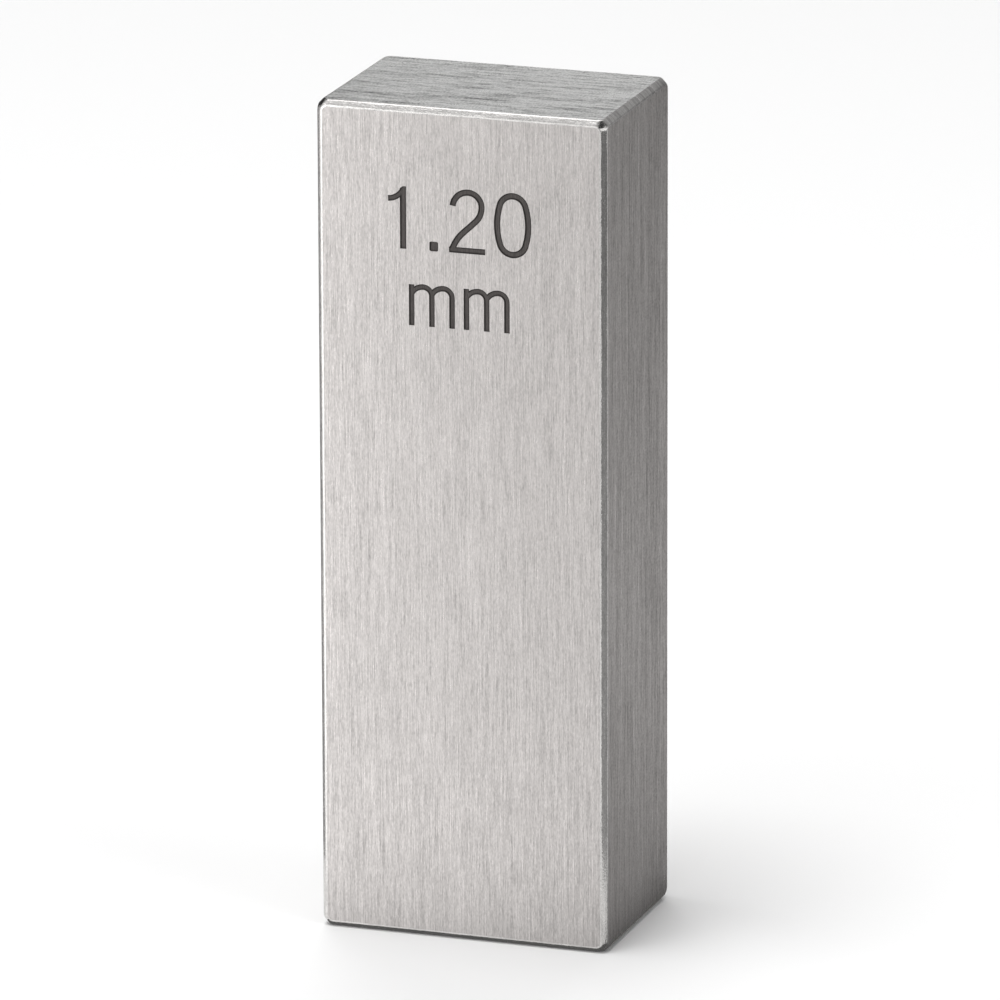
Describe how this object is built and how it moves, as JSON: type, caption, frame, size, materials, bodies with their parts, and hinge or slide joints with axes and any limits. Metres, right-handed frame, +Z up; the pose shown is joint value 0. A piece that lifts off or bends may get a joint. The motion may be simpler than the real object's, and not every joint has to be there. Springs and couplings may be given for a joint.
{
  "type": "gauge block",
  "caption": "Rectangular steel gauge block standing on end, edges bevelled and corners softly broken, brushed faces, size mark etched on one side.",
  "frame": {"origin": "centre of the base the block stands on", "axes": "+Z up along the block's longest side, X through the two measuring faces, -Y out of the side that carries the size mark"},
  "size_m": [0.0124, 0.0082, 0.035],
  "materials": {
    "steel": "hardened gauge steel, fine linear grind: grain upright on the four sides and along X on the top and underside, bevels ground and slightly worn, size mark etched dark"
  },
  "bodies": {
    "root": {"gauge_block": "steel"}
  },
  "joints": []
}
